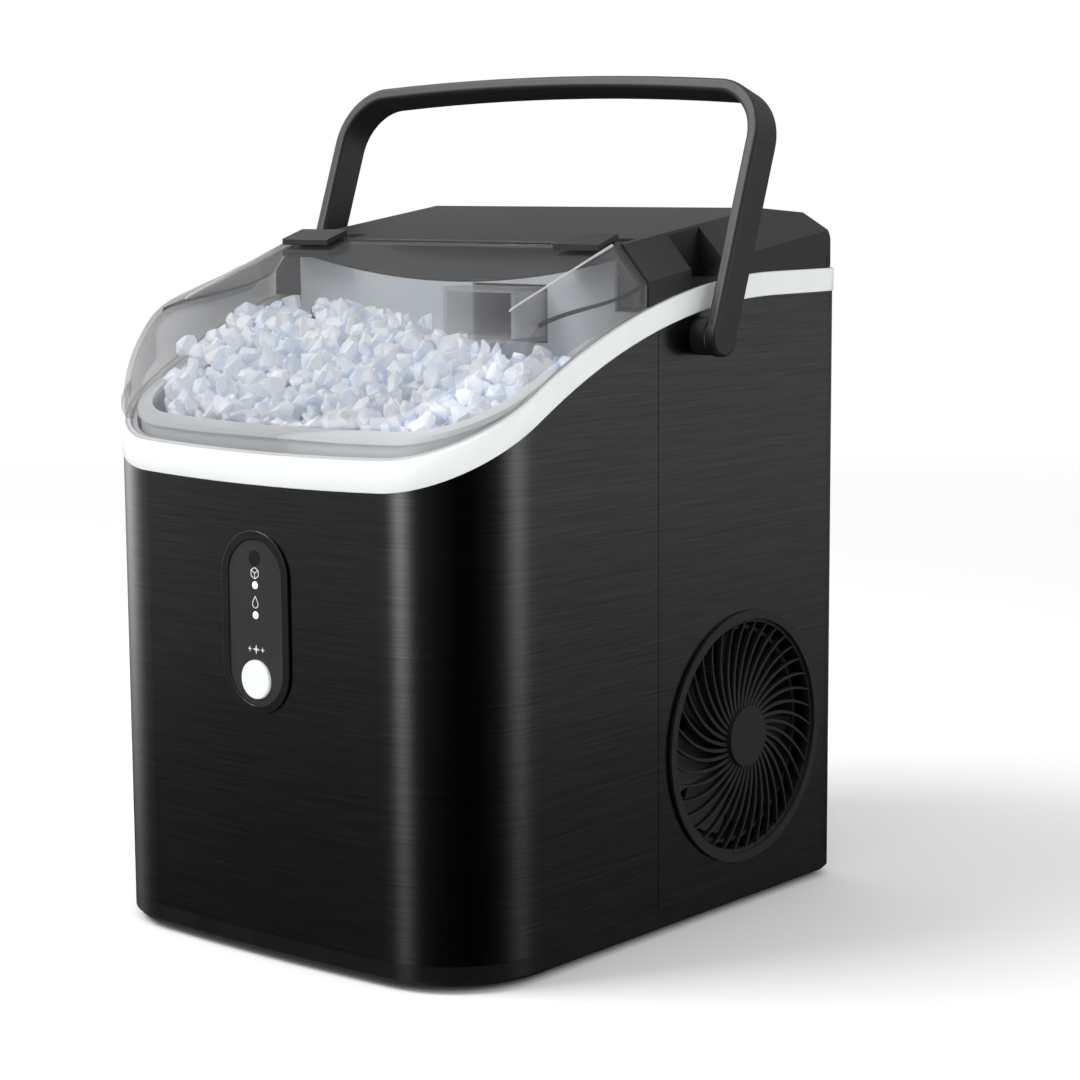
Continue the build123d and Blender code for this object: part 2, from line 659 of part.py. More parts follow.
# ---------------------------------------------------------------- refrigeration
def compressor_shell():
    """Welded hermetic can with domed ends, a weld flange and two pipe stubs."""
    profile = make_face([
        Line((0, 26.6), (34, 26.6)), ThreePointArc((34, 26.6), (43, 30.5), (COMPRESSOR_R, 40)),
        Line((COMPRESSOR_R, 40), (COMPRESSOR_R, 112)),
        ThreePointArc((COMPRESSOR_R, 112), (34, 131), (0, 138)), Line((0, 138), (0, 26.6)),
    ])
    can = revolve(Plane.XZ * profile, Axis.Z) + rod_z(88, 91, 0, 0, COMPRESSOR_R + 1.5)
    x, y = COMPRESSOR
    stubs = [rod_z(115, 141, sx - x, sy - y, 4) for sx, sy in (DISCHARGE, SUCTION)]
    return Pos(x, y, 0) * can.fuse(*stubs)


def compressor_plate():
    plate = block(-84, -8, 40, 116, 24, 26.5)
    plate = fillet(plate.edges().filter_by(Axis.Z), 10)
    return plate - [rod_z(20, 30, x, y, 3.1) for x, y in MOUNT_SPOTS]


def compressor_mounts():
    return [rod_z(BASE_TOP, 23.95, x, y, 8) - rod_z(11, 25, x, y, 3.1) for x, y in MOUNT_SPOTS]


def compressor_bolts():
    return [rod_z(BASE_TOP, 26.55, x, y, 3.0) for x, y in MOUNT_SPOTS]


def condenser_tubes():
    low, high, ends = 18.5, 144.0, 150.0
    points = [(CONDENSER_X, PASS_Y[0], ends)]
    for i, y in enumerate(PASS_Y):
        z = low if i % 2 == 0 else high
        points.append((CONDENSER_X, y, z))
        if i + 1 < PASSES:
            points.append((CONDENSER_X, PASS_Y[i + 1], z))
    points[-1] = (CONDENSER_X, PASS_Y[-1], ends)
    return pipe(points, PASS_PITCH / 2 - 0.1, 3.0)


def condenser_fins():
    holes = [rod_z(20, 145, CONDENSER_X, y, 3.05) for y in PASS_Y]
    fin = block(64, 82, 11, 115, 0, 0.6)
    stack = []
    for i in range(18):
        stack.append(Pos(0, 0, 29 + 6 * i) * fin - holes)
    return stack


def fan_shroud():
    plate = block(84, 86.5, 6, 114, 25, 139) - rod_x(83, 88, VENT_Y, VENT_Z, 49)
    duct = rod_x(86.4, 108, VENT_Y, VENT_Z, 51) - rod_x(80, 110, VENT_Y, VENT_Z, 49)
    ring = rod_x(84, 88.4, VENT_Y, VENT_Z, 19)
    arm = Pos(0, 34, 0) * Box(4.4, 32, 5)
    arms = [Pos(86.2, VENT_Y, VENT_Z) * Rot(90 * i + 45, 0, 0) * arm for i in range(4)]
    return plate.fuse(duct, ring, *arms)


def fan_motor():
    return rod_x(88.5, 97.4, VENT_Y, VENT_Z, 16) + rod_x(97.4, 103, VENT_Y, VENT_Z, 2.5)


def fan_blades():
    hub = rod_x(98, 108, VENT_Y, VENT_Z, 17)
    blade = Rot(0, 0, 24) * Box(1.6, 23, 31)
    blades = [Pos(103, VENT_Y, VENT_Z) * Rot(360 / 7 * i, 0, 0) * Pos(0, 0, 31) * blade for i in range(7)]
    limit = rod_x(98, 108.4, VENT_Y, VENT_Z, FAN_R)
    fan = hub.fuse(*[b & limit for b in blades])
    return fan - rod_x(97, 103.5, VENT_Y, VENT_Z, 2.5 + RUN)


def filter_drier():
    body = rod_z(198.1, 251.9, -14, 120, 8)
    return chamfer(body.edges(), 3)


def discharge_line():
    x, y = DISCHARGE
    return pipe([(x, y, 141.05), (x, y, 160), (x, 14, 160), (CONDENSER_X - 12, 14, 160),
                 (CONDENSER_X, PASS_Y[0], 160), (CONDENSER_X, PASS_Y[0], 150.05)], 5, 2.6)


def suction_line():
    x, y = SUCTION
    return pipe([(x, y, 141.05), (x, y, 222), (-32, 75, 222), (-2.2, 75, 222)], 12, 3.2)


def liquid_line():
    y = PASS_Y[-1]
    first = pipe([(CONDENSER_X, y, 150.05), (CONDENSER_X, y, 164), (CONDENSER_X, 120, 164), (-14, 120, 164),
                  (-14, 120, 198)], 6, 2.2)
    capillary = pipe([(-14, 120, 252), (-14, 120, 261), (36, 120, 261), (36, 120, 240),
                      (36, 113.2, 240)], 3, 1.3)
    return [first, capillary]


# ---------------------------------------------------------------- electrics
def power_inlet():
    """Recessed three-blade appliance inlet; the lead itself isn't part of the model."""
    x, z = INLET
    body = block(x - 14, x + 14, 119, BACK_Y + 0.1, z - 10, z + 10)
    flange = block(x - 17, x + 17, BACK_Y + 0.1, BACK_Y + PROUD_Y, z - 13, z + 13)
    recess = block(x - 12, x + 12, 123, 150, z - 8, z + 8)
    blades = [block(x + dx - 1, x + dx + 1, 122, 137, z + dz - 2, z + dz + 2)
              for dx, dz in ((-7, 1), (0, 4), (7, 1))]
    return (body + flange - recess).fuse(*blades)


def power_board():
    board = block(-104, -30, 126, 127.6, 168, 258)
    transformer = block(-98, -70, 104, 126, 176, 204)
    relays = block(-62, -46, 110, 126, 176, 190) + block(-62, -46, 110, 126, 196, 210)
    caps = rod_y(108, 126, -90, 230, 7) + rod_y(108, 126, -70, 230, 7)
    return board + transformer + relays + caps


NODES = (
    base_tray, rubber_feet, front_wrap_panel, rear_wrap_panel, white_trim_band, body_screws,
    side_vent_grille, top_cover, lid_shell, lid_hinge_clips, lid_hinge_pins, handle_bail, handle_bosses,
    handle_washers, panel_bezel, panel_plate, function_button, button_switch, indicator_leds, sensor_window,
    control_board, inner_liner, ice_basket, water_tank, water_pump, pump_impeller, feed_hose, float_stem,
    level_float, drain_hose, drain_spout, drain_cap, ice_level_sensor, drive_shelf, drive_motor, motor_pinion,
    gearbox_housing, gearbox_cover, auger_gear, auger, evaporator_barrel, evaporator_coil, insulation_jacket,
    extruder_head, ice_chute, compressor_shell, compressor_plate, compressor_mounts, compressor_bolts,
    condenser_tubes, condenser_fins, fan_shroud, fan_motor, fan_blades, filter_drier, discharge_line,
    suction_line, liquid_line, power_inlet, power_board,
)


def main():
    for make in NODES:
        shape = make()
        if isinstance(shape, list):
            shape = Compound(children=[Compound(children=list(s.solids())) for s in shape])
        export_step(shape, f"parts/{make.__name__}.step")


main()
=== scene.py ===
"""Looks of the countertop nugget ice maker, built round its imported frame. Metres, in the frame's own axes."""
import json
import math
import random

import bmesh
import bpy
from mathutils import Euler, Matrix, Vector


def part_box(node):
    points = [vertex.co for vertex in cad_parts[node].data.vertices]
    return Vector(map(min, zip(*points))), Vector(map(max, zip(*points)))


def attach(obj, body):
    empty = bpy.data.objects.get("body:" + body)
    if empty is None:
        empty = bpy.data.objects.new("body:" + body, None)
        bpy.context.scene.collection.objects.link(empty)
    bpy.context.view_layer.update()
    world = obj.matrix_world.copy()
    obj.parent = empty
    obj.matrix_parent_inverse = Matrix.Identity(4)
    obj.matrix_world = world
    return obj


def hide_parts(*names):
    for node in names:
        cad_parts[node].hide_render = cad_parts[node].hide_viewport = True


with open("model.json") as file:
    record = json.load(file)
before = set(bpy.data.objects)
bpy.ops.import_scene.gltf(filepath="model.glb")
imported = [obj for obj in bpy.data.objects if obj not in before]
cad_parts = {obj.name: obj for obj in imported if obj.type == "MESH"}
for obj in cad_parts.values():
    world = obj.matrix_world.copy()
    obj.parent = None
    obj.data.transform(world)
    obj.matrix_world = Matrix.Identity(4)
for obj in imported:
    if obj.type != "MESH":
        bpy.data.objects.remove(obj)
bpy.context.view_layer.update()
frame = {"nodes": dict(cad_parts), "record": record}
MM = 0.001


# ---------------------------------------------------------------- shader maths
class Value:
    """A socket of a material that takes part in plain Python maths."""

    def __init__(self, paint, socket):
        self.paint = paint
        self.socket = socket

    def __add__(self, other):
        return self.paint.maths("ADD", self, other)

    def __radd__(self, other):
        return self.paint.maths("ADD", other, self)

    def __sub__(self, other):
        return self.paint.maths("SUBTRACT", self, other)

    def __rsub__(self, other):
        return self.paint.maths("SUBTRACT", other, self)

    def __mul__(self, other):
        return self.paint.maths("MULTIPLY", self, other)

    def __rmul__(self, other):
        return self.paint.maths("MULTIPLY", other, self)

    def __pow__(self, power):
        return self.paint.maths("POWER", self, power)


class Paint:
    """One material, or the world, while its nodes are put together."""

    def __init__(self, name="", tree=None):
        self.material = None
        self.tree = tree
        if tree is None:
            self.material = bpy.data.materials.new(name)
            self.material.use_nodes = True
            self.tree = self.material.node_tree
        self.tree.nodes.clear()

    def node(self, kind, settings=None, sockets=None, out=0):
        """A node of any kind: its settings first, then the values or links of its sockets."""
        made = self.tree.nodes.new(kind)
        for name, value in (settings or {}).items():
            if name == "stops":
                set_stops(made.color_ramp, value)
            else:
                setattr(made, name, value)
        for key, value in (sockets or {}).items():
            if isinstance(value, Value):
                self.tree.links.new(value.socket, made.inputs[key])
            else:
                made.inputs[key].default_value = value
        return Value(self, made.outputs[out])

    def maths(self, operation, *numbers):
        return self.node("ShaderNodeMath", {"operation": operation}, dict(enumerate(numbers)))

    def place(self, stretch=(1, 1, 1)):
        where = self.node("ShaderNodeTexCoord", out="Object")
        return self.node("ShaderNodeVectorMath", {"operation": "MULTIPLY"}, {0: where, 1: stretch})

    def parts(self, vector, axes):
        """The named parts of a vector, as separate numbers."""
        return [self.node("ShaderNodeSeparateXYZ", {}, {0: vector}, out=axis) for axis in axes]

    def noise(self, scale, detail=3.0, stretch=(1, 1, 1)):
        return self.node("ShaderNodeTexNoise", {},
                         {"Vector": self.place(stretch), "Scale": scale, "Detail": detail})

    def grains(self, scale, stretch=(1, 1, 1)):
        return self.node("ShaderNodeTexVoronoi", {"feature": "F1"},
                         {"Vector": self.place(stretch), "Scale": scale})

    def ramp(self, value, *stops):
        return self.node("ShaderNodeValToRGB", {"stops": stops}, {"Fac": value})

    def mix(self, factor, first, second):
        """Two colours mixed by a factor."""
        return self.node("ShaderNodeMix", {"data_type": "RGBA"},
                         {0: factor, 6: rgba(first), 7: rgba(second)}, out=2)

    def bump(self, height, strength, depth):
        return self.node("ShaderNodeBump", {}, {"Height": height, "Strength": strength, "Distance": depth})

    def surface(self, **sockets):
        """A Principled shader; a socket's name is written with _ for each space."""
        named = {name.replace("_", " "): value for name, value in sockets.items()}
        for name in ("Base Color", "Emission Color"):
            if name in named:
                named[name] = rgba(named[name])
        return self.node("ShaderNodeBsdfPrincipled", {}, named)

    def see_through(self, wall, tint, cover):
        """Clear plastic: open with a tint, and covered by the wall's own shader to some share."""
        clear = self.node("ShaderNodeBsdfTransparent", {}, {"Color": rgba(tint)})
        return self.node("ShaderNodeMixShader", {}, {0: cover, 1: clear, 2: wall})

    def done(self, shader, kind="ShaderNodeOutputMaterial"):
        end = self.tree.nodes.new(kind)
        self.tree.links.new(shader.socket, end.inputs["Surface"])
        return self.material


def rgba(colour):
    """A colour with its alpha, or a link as it is."""
    if isinstance(colour, Value) or len(colour) == 4:
        return colour
    return (*colour, 1.0)


def set_stops(colour_ramp, stops):
    """Each stop is a place from 0 to 1 and a grey."""
    places = colour_ramp.elements
    while len(places) < len(stops):
        places.new(1.0)
    for element, (place, grey) in zip(places, stops):
        element.position = place
        element.color = (grey, grey, grey, 1.0)


# ---------------------------------------------------------------- finishes
def brushed_black_steel():
    """Black coated steel, brushed along the horizontal."""
    paint = Paint("brushed_black_steel")
    hair = paint.noise(1.0, 2.0, stretch=(30, 30, 3400))
    band = paint.noise(1.0, 3.0, stretch=(9, 9, 900))
    lines = hair * 0.7 + band * 0.3
    worn = paint.ramp(lines, (0.3, 0.0), (0.7, 1.0))
    colour = paint.mix(worn, (0.062, 0.062, 0.063), (0.118, 0.118, 0.12))
    shader = paint.surface(
        Base_Color=colour, Metallic=1.0, Roughness=0.16 + lines * 0.12,
        Normal=paint.bump(lines, 0.05, 0.03 * MM))
    return paint.done(shader)


def satin_white():
    """White moulded trim, with the faint waviness of a thin moulding."""
    paint = Paint("satin_white")
    wave = paint.noise(45.0, 2.0)
    fine = paint.noise(1500.0, 2.0)
    colour = paint.mix(wave, (0.76, 0.76, 0.75), (0.83, 0.83, 0.825))
    shader = paint.surface(
        Base_Color=colour, Roughness=0.24 + fine * 0.14, Subsurface_Weight=0.08,
        Normal=paint.bump(fine, 0.06, 0.05 * MM))
    return paint.done(shader)


def moulded_black(name, dark, light, rough, texture, depth=0.02 * MM):
    """Moulded black plastic with a sparked texture."""
    paint = Paint(name)
    grain = paint.noise(texture, 4.0)
    cloud = paint.noise(22.0, 2.0)
    colour = paint.mix(grain * 0.5 + cloud * 0.5, (dark,) * 3, (light, light, light * 1.04))
    shader = paint.surface(
        Base_Color=colour, Roughness=rough + grain * 0.16 + cloud * 0.06,
        Normal=paint.bump(grain, 0.2, depth))
    return paint.done(shader)


def gloss_black():
    """Polished black plastic with a trace of handling marks."""
    paint = Paint("gloss_black")
    smear = paint.noise(60.0, 4.0, stretch=(1, 1, 0.4))
    shader = paint.surface(
        Base_Color=paint.mix(smear, (0.004,) * 3, (0.009,) * 3), Roughness=0.12 + smear * 0.14,
        Normal=paint.bump(smear, 0.04, 0.05 * MM))
    return paint.done(shader)


def clear_lid():
    """Clear plastic, with a painted reflection that greys the side walls towards the hinge, and glossier where
    it is seen edge-on.
    """
    paint = Paint("clear_lid")
    haze = paint.noise(30.0, 3.0)
    facing = paint.node("ShaderNodeTexCoord", out="Normal")
    sideways, = paint.parts(facing, "X")
    across, along = paint.parts(paint.place(), "XY")
    rear = paint.ramp((along - across * 0.22) * 5 + 0.7, (0.28, 0.0), (0.56, 1.0))
    # Painted reflection: walls that face sideways, most of all towards the hinge, get more of the grey wall
    # shader, standing in for the surroundings mirrored in them.
    side_reflection_veil = paint.ramp(sideways * sideways, (0.12, 0.0), (0.6, 1.0)) * (0.12 + rear * 0.88)
    edge = paint.node("ShaderNodeFresnel", {}, {"IOR": 1.42})
    wall = paint.surface(
        Base_Color=paint.mix(haze, (0.1, 0.101, 0.104), (0.16, 0.162, 0.166)), Roughness=0.04 + haze * 0.04,
        Specular_IOR_Level=0.8)
    cover = 0.008 + haze * 0.012 + edge * 0.36 + side_reflection_veil * 0.42
    return paint.done(paint.see_through(wall, (0.96, 0.962, 0.965), cover))


def lid_edge(name, grey, cover):
    """A bead along a crease of the lid whose grey is painted: a pale one is a painted highlight of the crease,
    a dark one a painted shade line.
    """
    paint = Paint(name)
    haze = paint.noise(90.0, 3.0)
    wall = paint.surface(
        Base_Color=paint.mix(haze, (grey * 0.9,) * 3, (grey,) * 3), Roughness=0.08 + haze * 0.06)
    return paint.done(paint.see_through(wall, (0.95, 0.95, 0.955), cover + haze * 0.1))


def pale_liner():
    """Pale grey food-safe plastic of the bin and the basket."""
    paint = Paint("pale_liner")
    cloud = paint.noise(26.0, 3.0)
    fine = paint.noise(900.0, 2.0)
    shader = paint.surface(
        Base_Color=paint.mix(cloud, (0.72, 0.73, 0.745), (0.82, 0.825, 0.835)), Roughness=0.28 + fine * 0.18,
        Subsurface_Weight=0.1, Normal=paint.bump(fine, 0.08, 0.05 * MM))
    return paint.done(shader)


def ice():
    """Wet nugget ice: cloudy inside, bluish where it is thick, with a faint painted glow that lightens its
    shade.
    """
    paint = Paint("ice")
    cloud = paint.noise(95.0, 4.0)
    pits = paint.noise(420.0, 3.0)
    colour = paint.mix(paint.ramp(cloud, (0.36, 0.0), (0.6, 1.0)), (0.72, 0.81, 0.96), (0.97, 0.98, 1.0))
    # The emission of 0.1 in the ice's own colour is painted light: it lifts the shaded parts of the nuggets.
    shader = paint.surface(
        Base_Color=colour, Roughness=0.04 + pits * 0.2, IOR=1.31, Subsurface_Weight=0.4,
        Subsurface_Radius=(0.8, 0.92, 1.0), Subsurface_Scale=6 * MM, Emission_Color=colour,
        Emission_Strength=0.1, Normal=paint.bump(pits + cloud, 0.6, 0.8 * MM))
    return paint.done(shader)


def metal(name, dark, light, rough, stretch=(200, 200, 200), strength=0.1):
    """Bare metal with its drawing, rolling or casting marks."""
    paint = Paint(name)
    marks = paint.noise(1.0, 4.0, stretch=stretch)
    tarnish = paint.noise(38.0, 3.0)
    shader = paint.surface(
        Base_Color=paint.mix(tarnish * 0.6 + marks * 0.4, dark, light), Metallic=1.0,
        Roughness=rough + marks * 0.18, Normal=paint.bump(marks, strength, 0.08 * MM))
    return paint.done(shader)


def rubber(name, dark, light, scale, depth):
    """Soft rubber or foam with a pitted skin."""
    paint = Paint(name)
    pits = paint.grains(scale)
    cloud = paint.noise(40.0, 3.0)
    shader = paint.surface(
        Base_Color=paint.mix(cloud, dark, light), Roughness=0.66 + cloud * 0.2,
        Normal=paint.bump(pits, 0.3, depth))
    return paint.done(shader)


def milky(name, colour, glow):
    """Milky moulding, lit from behind when glow is above 0."""
    paint = Paint(name)
    cloud = paint.noise(120.0, 3.0)
    tone = paint.mix(cloud, tuple(0.9 * c for c in colour), colour)
    shader = paint.surface(
        Base_Color=tone, Roughness=0.2 + cloud * 0.12, Subsurface_Weight=0.15, Emission_Color=tone,
        Emission_Strength=glow)
    return paint.done(shader)


def circuit_board():
    """Green solder mask over square copper runs."""
    paint = Paint("circuit_board")
    cells = paint.node("ShaderNodeTexBrick", {"offset": 0.5}, {
        "Vector": paint.place(), "Scale": 120.0, "Mortar Size": 0.06, "Color1": (0, 0, 0, 1),
        "Color2": (0.3, 0.3, 0.3, 1), "Mortar": (1, 1, 1, 1)})
    shader = paint.surface(
        Base_Color=paint.mix(cells, (0.012, 0.085, 0.035), (0.05, 0.2, 0.08)), Roughness=0.3 + cells * 0.1,
        Normal=paint.bump(cells, 0.2, 0.1 * MM))
    return paint.done(shader)


FINISHES = {
    "charcoal_plastic": moulded_black("charcoal_plastic", 0.006, 0.015, 0.36, 1400.0),
    "foot_rubber": rubber("foot_rubber", (0.012,) * 3, (0.024,) * 3, 900.0, 0.1 * MM),
    "black_steel": brushed_black_steel(),
    "white_plastic": satin_white(),
    "dark_steel": metal("dark_steel", (0.05, 0.05, 0.055), (0.1, 0.1, 0.105), 0.3),
    "clear_lid": clear_lid(),
    "clear_nylon": milky("clear_nylon", (0.72, 0.71, 0.66), 0.0),
    "gloss_black": gloss_black(),
    "panel_grey": moulded_black("panel_grey", 0.014, 0.024, 0.3, 2200.0),
    "led_lens": milky("led_lens", (0.95, 0.97, 1.0), 0.9),
    "circuit_board": circuit_board(),
    "liner_grey": pale_liner(),
    "silicone": milky("silicone", (0.66, 0.66, 0.63), 0.0),
    "zinc_steel": metal("zinc_steel", (0.42, 0.43, 0.45), (0.62, 0.63, 0.64), 0.26, (90, 90, 90)),
    "die_cast": metal("die_cast", (0.4, 0.41, 0.42), (0.55, 0.56, 0.57), 0.36, (600, 600, 600), 0.3),
    "stainless": metal("stainless", (0.5, 0.51, 0.52), (0.68, 0.69, 0.7), 0.16, (60, 60, 1800)),
    "copper": metal("copper", (0.58, 0.27, 0.16), (0.82, 0.46, 0.31), 0.2, (300, 300, 300)),
    "black_foam": rubber("black_foam", (0.018,) * 3, (0.04,) * 3, 420.0, 0.5 * MM),
    "compressor_black": moulded_black("compressor_black", 0.008, 0.02, 0.24, 700.0),
    "fin_aluminium": metal("fin_aluminium", (0.6, 0.61, 0.62), (0.76, 0.77, 0.78), 0.2, (40, 900, 40)),
}


def frosted_chute():
    """Frosted clear plastic of the duct that drops the ice."""
    paint = Paint("frosted_chute")
    haze = paint.noise(60.0, 3.0)
    edge = paint.node("ShaderNodeFresnel", {}, {"IOR": 1.45})
    wall = paint.surface(
        Base_Color=paint.mix(haze, (0.7, 0.71, 0.72), (0.85, 0.855, 0.86)), Roughness=0.18 + haze * 0.1)
    cover = 0.2 + haze * 0.15 + edge * 0.25
    return paint.done(paint.see_through(wall, (0.95, 0.95, 0.955), cover))


def dress_nodes():
    """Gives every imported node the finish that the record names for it, and two nodes one of their own."""
    for part in frame["record"]["subparts"]:
        node = frame["nodes"][part["node"]]
        node.data.materials.clear()
        node.data.materials.append(FINISHES[part["material_slot"]])
    # The vent grille's darker black is painted shade: the same moulded black made darker because the vent sits
    # in shade.
    vent_painted_shade = moulded_black("vent_painted_shade", 0.003, 0.008, 0.42, 1400.0)
    for name, finish in (("ice_chute", frosted_chute()), ("side_vent_grille", vent_painted_shade)):
        frame["nodes"][name].data.materials[0] = finish


# ---------------------------------------------------------------- meshes
def new_piece(name, mesh_maker, finish, body):
    """An object from a bmesh that mesh_maker fills, riding on a body."""
    bm = bmesh.new()
    mesh_maker(bm)
    bmesh.ops.recalc_face_normals(bm, faces=bm.faces)
    mesh = bpy.data.meshes.new(name)
    bm.to_mesh(mesh)
    bm.free()
    piece = bpy.data.objects.new(name, mesh)
    bpy.context.scene.collection.objects.link(piece)
    mesh.materials.append(finish)
    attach(piece, body)
    return piece


def soften(piece, width, segments=2, angle=30.0):
    """Rounds the sharp edges a little, as a mould or a press does."""
    weld = piece.modifiers.new("weld", "WELD")
    weld.merge_threshold = 0.005 * MM
    bevel = piece.modifiers.new("soft_edges", "BEVEL")
    bevel.width = width
    bevel.segments = segments
    bevel.limit_method = "ANGLE"
    bevel.angle_limit = math.radians(angle)
    bevel.harden_normals = True
    return piece


# ---------------------------------------------------------------- ice
def heap_height(x, y):
    """Top of the ice: low at the front rim, highest behind the middle on the chute's far side."""
    front_level, mound, lean = 228 * MM, 42 * MM, 0.11
    low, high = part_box("ice_basket")
    front, back = low.y + 2 * MM, high.y
    along = min(max((y - front) / (back - front), 0.0), 1.0)
    rise = math.sin(along * math.pi * 0.56)
    side = 1.0 - 0.16 * (abs(x) / high.x) ** 3
    return front_level + mound * rise * side - lean * rise * x


def nugget(bm, rng, centre, size):
    """One chewy nugget: the hull of a few points scattered on a squashed ball."""
    points = 14
    turn = Euler([rng.uniform(0, 6.28) for _ in range(3)]).to_matrix()
    squash = Vector((rng.uniform(0.75, 1.1), rng.uniform(0.6, 1.0), rng.uniform(0.45, 0.8)))
    corners = []
    for _ in range(points):
        point = Vector([rng.gauss(0, 1) for _ in range(3)]).normalized() * rng.uniform(0.85, 1.1)
        point = turn @ Vector([a * b for a, b in zip(point, squash)])
        corners.append(bm.verts.new(centre + point * size))
    hull = bmesh.ops.convex_hull(bm, input=corners)
    bmesh.ops.delete(bm, geom=hull["geom_interior"], context="VERTS")


def inside_basket(x, y, margin):
    """True where the plan point is inside the basket's rounded rectangle, less a margin."""
    low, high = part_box("ice_basket")
    corner, wall = 42 * MM, 4 * MM
    half = high.x - wall - margin
    front = low.y + wall + margin
    if abs(x) > half or y < front or y > high.y - wall - margin:
        return False
    dx, dy = abs(x) - (half - corner), (front + corner) - y
    return dx < 0 or dy < 0 or math.hypot(dx, dy) < corner


def under_chute(x, y, size):
    """How high a nugget may stand at a plan point so that the basket still lifts under the chute."""
    lift_room, anywhere = 8 * MM, 1.0
    low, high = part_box("ice_chute")
    near = low.x - size < x < high.x + size and low.y - size < y < high.y + size
    return low.z - lift_room - size if near else anywhere


def ice_heap(bm):
    """Layers of nuggets over a mound, each layer a little lower and filling the gaps above."""
    rng = random.Random(7)
    low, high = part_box("ice_basket")
    pitch, layers, layer_depth = 8.8 * MM, 4, 5.5 * MM
    for layer in range(layers):
        drop = layer_depth * layer
        x = low.x
        while x < high.x:
            y = low.y
            while y < high.y:
                px = x + rng.uniform(-0.5, 0.5) * pitch
                py = y + rng.uniform(-0.5, 0.5) * pitch
                size = rng.uniform(4.8, 8.0) * MM
                if inside_basket(px, py, 5 * MM):
                    top = min(heap_height(px, py), under_chute(px, py, 1.2 * size)) - drop
                    top += rng.uniform(-2.5, 2.5) * MM
                    nugget(bm, rng, Vector((px, py, top)), size)
                y += pitch
            x += pitch


# ---------------------------------------------------------------- lid
class LidForm:
    """The lid's outside: a rounded plan, a steep front, a flatter rear and chamfered sides."""

    wall = 2.2 * MM
    side_chamfer = 16 * MM
    chamfer_steepness = 1.13
    front_round = 9 * MM
    front_roundness = 0.8
    chamfer_start, chamfer_growth = -100 * MM, 82 * MM
    steps = [0, 0.8, 2, 3.6, 5.6, 8, 10.8, 13.6, 16, 18.5, 23, 32, 47]
    sides, turns, fronts = 22, 14, 30

    def __init__(self):
        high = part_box("lid_shell")[1]
        self.half = high.x
        self.back = high.y
        self.corner = 47 * MM
        front, bow = -138 * MM, 6 * MM
        self.bow_radius = (self.half ** 2 + bow ** 2) / (2 * bow)
        self.bow_centre = front + self.bow_radius
        across = self.half - self.corner
        self.corner_y = self.bow_centre - math.sqrt((self.bow_radius - self.corner) ** 2 - across ** 2)
        self.corner_turn = math.atan2(self.bow_centre - self.corner_y, across)
        self.front_slope = math.radians(43.7)
        self.rear_slope = math.radians(20.1)
        self.roll = 50 * MM
        self.roll_y, self.roll_z = -63.7 * MM, 237.8 * MM

    def top(self, y):
        """Height of the top at a depth: a steep front and a flatter rear with a roll between."""
        start, end = (self.roll_y - self.roll * math.sin(a) for a in (self.front_slope, self.rear_slope))
        if start < y < end:
            return self.roll_z + math.sqrt(self.roll ** 2 - (y - self.roll_y) ** 2)
        slope, edge = (self.front_slope, start) if y <= start else (self.rear_slope, end)
        return self.roll_z + self.roll * math.cos(slope) + (y - edge) * math.tan(slope)

    def foot(self, y):
        """Height of the bottom edge, which follows the white band."""
        radius, middle_y, middle_z = 346.3 * MM, 82.0 * MM, -52.0 * MM
        slope = math.radians(29)
        start = middle_y - radius * math.sin(slope)
        if y > start:
            return middle_z + math.sqrt(radius ** 2 - (y - middle_y) ** 2)
        return middle_z + radius * math.cos(slope) + (y - start) * math.tan(slope)

    def drop(self, inset, y):
        """How far the top has fallen at a distance in from the outline."""
        rear = min(max((y - self.chamfer_start) / self.chamfer_growth, 0.0), 1.0)
        rear = rear * rear * (3 - 2 * rear)
        width = self.front_round + (self.side_chamfer - self.front_round) * rear
        if inset >= width:
            return 0.0
        left = (width - inset) / width
        flat = left * width * self.chamfer_steepness
        rounded = width * (1 - math.sqrt(max(1 - left * left, 0.0))) * self.front_roundness
        return flat * rear + rounded * (1 - rear)

    def outline(self, inset):
        """Points of the plan outline, drawn in by inset, from the right hinge end round the front."""
        sides, turns, fronts = self.sides, self.turns, self.fronts
        x = self.half - inset
        points = [(x, self.back + (self.corner_y - self.back) * i / sides) for i in range(sides)]
        centre = self.half - self.corner
        radius = self.corner - inset
        for i in range(turns):
            angle = -self.corner_turn * i / turns
            points.append((centre + radius * math.cos(angle), self.corner_y + radius * math.sin(angle)))
        reach = self.bow_radius - inset
        half_turn = math.pi / 2 - self.corner_turn
        for i in range(fronts // 2 + 1):
            angle = -math.pi / 2 + half_turn * (1 - 2 * i / fronts)
            points.append((reach * math.cos(angle), self.bow_centre + reach * math.sin(angle)))
        return points + [(-px, py) for px, py in reversed(points[:-1])]


